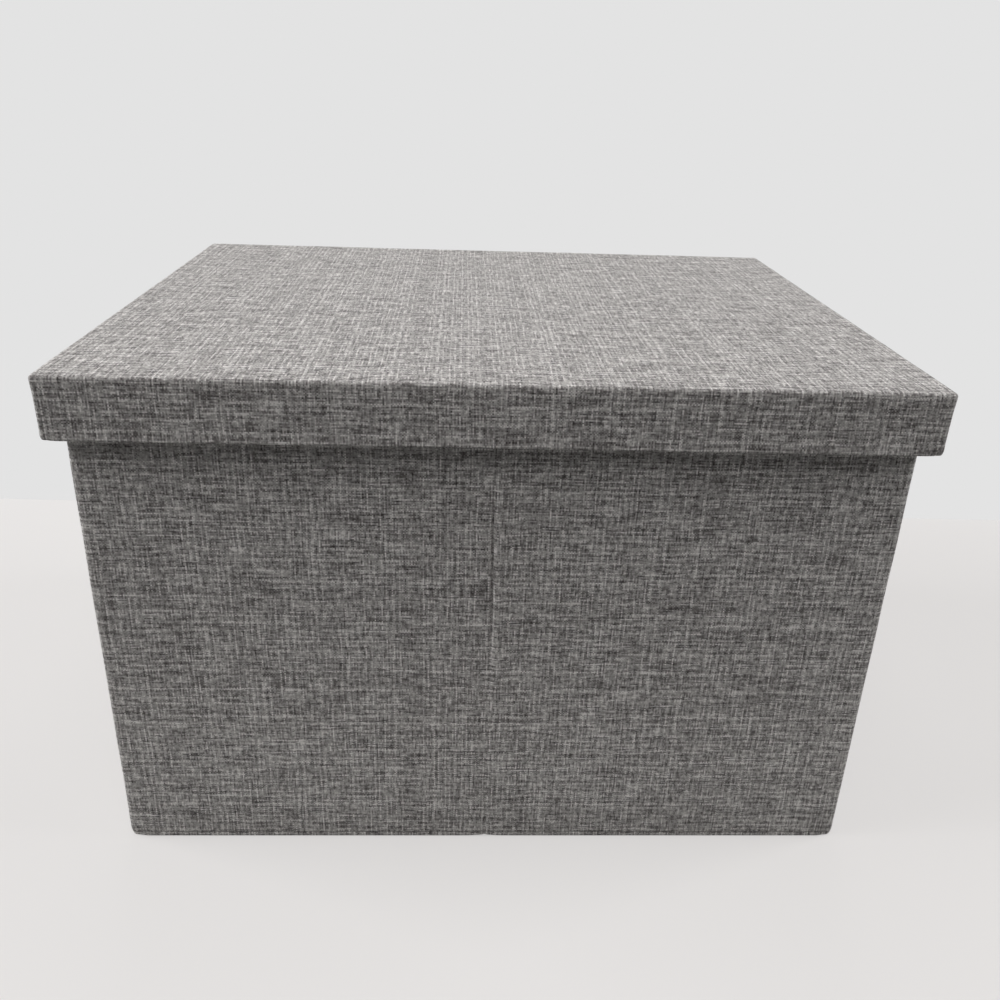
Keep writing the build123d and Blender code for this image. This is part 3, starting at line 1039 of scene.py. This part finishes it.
near_corner = np.array([12, 8, 5.5, 3.5, 2, 1, 0]) / 1000
near_crease = np.array([0, 0.5, 1.0, 1.4, 1.8, 2.2, 2.7, 3.3, 4.2, 6, 8.5, 12, 17]) / 1000
floor_half_x = np.concatenate([near_crease, spaced(0.025, 0.171, 0.008), floor_edge[0] - near_corner])
floor_half_y = np.concatenate([spaced(0.0, 0.132, 0.008), floor_edge[1] - near_corner])
floor_linen = folded_sheet(
    "floor_linen",
    (floor_high.x, floor_high.y),
    hem_radius,
    floor_profile,
    grid=(mirrored(floor_half_x), mirrored(floor_half_y)),
    inward=True,
    shaped=floor_shape,
)
floor_linen_thickness = 0.0005
finished(floor_linen, linen, floor_linen_thickness)
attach(floor_linen, "floor")
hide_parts("floor_cloth")


# Base board wrap
# The loose board on the floor is chipboard like the walls' boards, but thinner. It is wrapped
# in the lining cloth, drawn tight round its edges, and lifts out before the box is folded.
wrap_low, wrap_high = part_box("base_board_wrap")
wrap_radius = 0.0014
edge_radius = 0.0008
wrap_thickness = 0.00028
wrap_profile = joined(
    [(0, wrap_high.z)],
    arc((wrap_radius - edge_radius, wrap_high.z - edge_radius), edge_radius, 90, -90, 5),
    arc((wrap_radius - edge_radius, wrap_low.z + edge_radius), edge_radius, 0, -90, 5),
    [(0.0002, wrap_low.z)],
)
board_cloth = folded_sheet(
    "base_board_cloth",
    (wrap_high.x, wrap_high.y),
    wrap_radius,
    wrap_profile,
    grid=0.010,
)
finished(board_cloth, lining, wrap_thickness)
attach(board_cloth, "floor")
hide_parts("base_board_wrap")


# Hand-hole grips and file rails
# The grips are pairs of dark moulded polypropylene frames that clamp the hole's edge. The
# rails are extruded channels clipped over the side walls, with a rib for the files' hooks.
wear_size = 0.0182
# Both plastics are dull and dark, with a fine grain and wider patches of wear. The channel's
# grain is drawn out along its length.
for name, endings, stretch, grain_size in (
    ("moulded_polypropylene", ("_grip_outer", "_grip_inner"), (1.0, 1.0, 1.0), 0.000385),
    ("extruded_plastic_channel", "_rail", (1.0, 0.02, 1.0), 0.000667),
):
    plastic, tree = blank_material(name)
    place = add(tree, "ShaderNodeTexCoord").outputs["Object"]
    drawn = add(tree, "ShaderNodeVectorMath", {0: place, 1: stretch}, operation="MULTIPLY")
    skin = add(
        tree,
        "ShaderNodeTexNoise",
        {"Vector": drawn, "Scale": 1 / grain_size, "Detail": 3.0, "Roughness": 0.6},
    )
    wear = add(tree, "ShaderNodeTexNoise", {"Vector": place, "Scale": 1 / wear_size, "Detail": 4.0})
    blend = add(tree, "ShaderNodeMix", {0: 0.6, 2: skin, 3: wear})
    plastic_colour = colours_along(tree, blend, [(0.3, "#363637"), (0.7, "#444445")])
    rough = add(tree, "ShaderNodeMapRange", {"Value": wear, "To Min": 0.36, "To Max": 0.58})
    surfaced(
        tree,
        {"Height": skin, "Strength": 0.35, "Distance": 0.00006},
        {"Base Color": plastic_colour, "Roughness": rough},
    )
    given(endings, plastic)


# Table, background and lamps
# The box stands on a pale laminate table, whose back edge shows behind it, in front of a
# plain pale wall. Soft light falls from the ceiling in front of the box and from windows on
# both sides, more from the left. The table throws some of it back up on the front.
def seen_paths(tree):
    """1 for what the camera sees, directly, in gloss or through glass, and 0 for other light."""
    paths = add(tree, "ShaderNodeLightPath").outputs
    seen = paths["Is Camera Ray"]
    for other in ("Is Glossy Ray", "Is Transmission Ray"):
        seen = add(tree, "ShaderNodeMath", {0: seen, 1: paths[other]}, operation="MAXIMUM")
    return seen


laminate, tree = blank_material("matt_white_laminate")
# A plain sheet with hardly any tone, in patches of some 0.4 m.
patch_size = 0.4
place = add(tree, "ShaderNodeTexCoord").outputs["Object"]
clouds = add(tree, "ShaderNodeTexNoise", {"Vector": place, "Scale": 1 / patch_size, "Detail": 2.0})
table_colour = colours_along(tree, clouds, [(0.3, "#eceae9"), (0.7, "#f1efee")])
plain_top = add(tree, "ShaderNodeBsdfPrincipled", {"Base Color": table_colour, "Roughness": 0.5})
# The camera and gloss see a paler table. For other light its colour is painted by place, to paint
# the light it throws back on the box: pale over the 0.2 m in front of the box, dark grey past that
# though the table goes on, and greyer by the box's foot, a painted shade on the lower front.
glow = add(tree, "ShaderNodeEmission", {"Color": linear("#e6e4e3"), "Strength": 1.0})
seen_top = add(tree, "ShaderNodeMixShader", {0: 0.6, 1: plain_top, 2: glow})
place_y = add(tree, "ShaderNodeSeparateXYZ", {0: place}).outputs[1]
near_box = add(tree, "ShaderNodeMapRange", {"Value": place_y, "From Min": -0.40, "From Max": -0.34})
painted_foot_shade = add(tree, "ShaderNodeMapRange", {"Value": place_y, "From Min": -0.26, "From Max": -0.20})
painted_bounce_falloff = colours_along(tree, near_box, [(0.0, "#4a4a4a"), (1.0, "#dededc")])
painted_bounce_colour = add(
    tree,
    "ShaderNodeMix",
    {0: painted_foot_shade, 6: painted_bounce_falloff, 7: linear("#a8a8a6")},
    data_type="RGBA",
).outputs[2]
thrown = add(tree, "ShaderNodeBsdfDiffuse", {"Color": painted_bounce_colour})
top = add(tree, "ShaderNodeMixShader", {0: seen_paths(tree), 1: thrown, 2: seen_top})
# From below, and under the box, the table is clear, so that the bottom is lit and seen.
clear_half = (0.1905, 0.1515, 1.0)
clear = add(tree, "ShaderNodeBsdfTransparent")
below = add(tree, "ShaderNodeNewGeometry").outputs["Backfacing"]
from_middle = add(tree, "ShaderNodeVectorMath", {0: place}, operation="ABSOLUTE")
share = add(tree, "ShaderNodeVectorMath", {0: from_middle, 1: clear_half}, operation="DIVIDE")
share = add(tree, "ShaderNodeSeparateXYZ", {0: share}).outputs
further = add(tree, "ShaderNodeMath", {0: share[0], 1: share[1]}, operation="MAXIMUM")
under_box = add(tree, "ShaderNodeMath", {0: further, 1: 1.0}, operation="LESS_THAN")
is_clear = add(tree, "ShaderNodeMath", {0: below, 1: under_box}, operation="MAXIMUM")
table_surface = add(tree, "ShaderNodeMixShader", {0: is_clear, 1: top, 2: clear})
add(tree, "ShaderNodeOutputMaterial", {"Surface": table_surface})

table_half = (0.90, 0.40)
table_turn = -0.0166
table_back = 0.276
table_drop = 0.0002
table_edge = 0.010
table_round = 0.004
edge_profile = joined(
    [(0, 0)],
    arc((table_edge - table_round, -table_round), table_round, 90, -90, 5),
    [(table_edge, -0.008)],
)
table = folded_sheet("table", table_half, table_edge, edge_profile, grid=0.1)
finished(table, laminate)
table.data.transform(
    Matrix.Rotation(table_turn, 4, "Z")
    @ Matrix.Translation((0, table_back - table_half[1], -table_drop))
)

world = bpy.data.worlds.new("studio")
scene.world = world
world.use_nodes = True
tree = world.node_tree
tree.nodes.clear()
room = add(tree, "ShaderNodeBackground", {"Color": linear("#f4f4f6"), "Strength": 0.03})
wall_behind = add(tree, "ShaderNodeBackground", {"Color": linear("#e3e3e3"), "Strength": 1.0})
both = add(tree, "ShaderNodeMixShader", {0: seen_paths(tree), 1: room, 2: wall_behind})
add(tree, "ShaderNodeOutputWorld", {"Surface": both})

lamp_white = (1.0, 0.99, 0.98)
for name, place, aim, size, power in (
    ("ceiling_in_front", (0.0, -1.30, 2.90), (0.0, 0.0, 0.2), 1.8, 27.0),
    ("upper_left", (-2.10, -0.50, 1.60), (0.0, 0.0, 0.15), 1.0, 13.0),
    ("window_left", (-2.20, 0.10, 1.30), (0.0, 0.0, 0.15), 1.2, 32.0),
    ("window_right", (2.20, 0.10, 1.30), (0.0, 0.0, 0.15), 1.2, 32.0),
    ("wall_behind", (0.0, 1.70, 0.85), (0.0, 0.0, 0.15), 1.5, 7.0),
    ("room_in_front", (-0.4, -2.4, 1.4), (0.0, 0.0, 0.15), 1.6, 2.4),
    ("under_the_table", (0.0, 0.0, -1.50), (0.0, 0.0, 0.0), 1.0, 12.0),
):
    lamp_data = bpy.data.lights.new(name, "AREA")
    lamp_data.shape = "SQUARE"
    lamp_data.size = size
    lamp_data.energy = power
    lamp_data.color = lamp_white
    lamp = bpy.data.objects.new(name, lamp_data)
    lamp.visible_camera = False
    scene.collection.objects.link(lamp)
    turn = (Vector(place) - Vector(aim)).to_track_quat("Z", "Y")
    lamp.matrix_world = Matrix.Translation(place) @ turn.to_matrix().to_4x4()
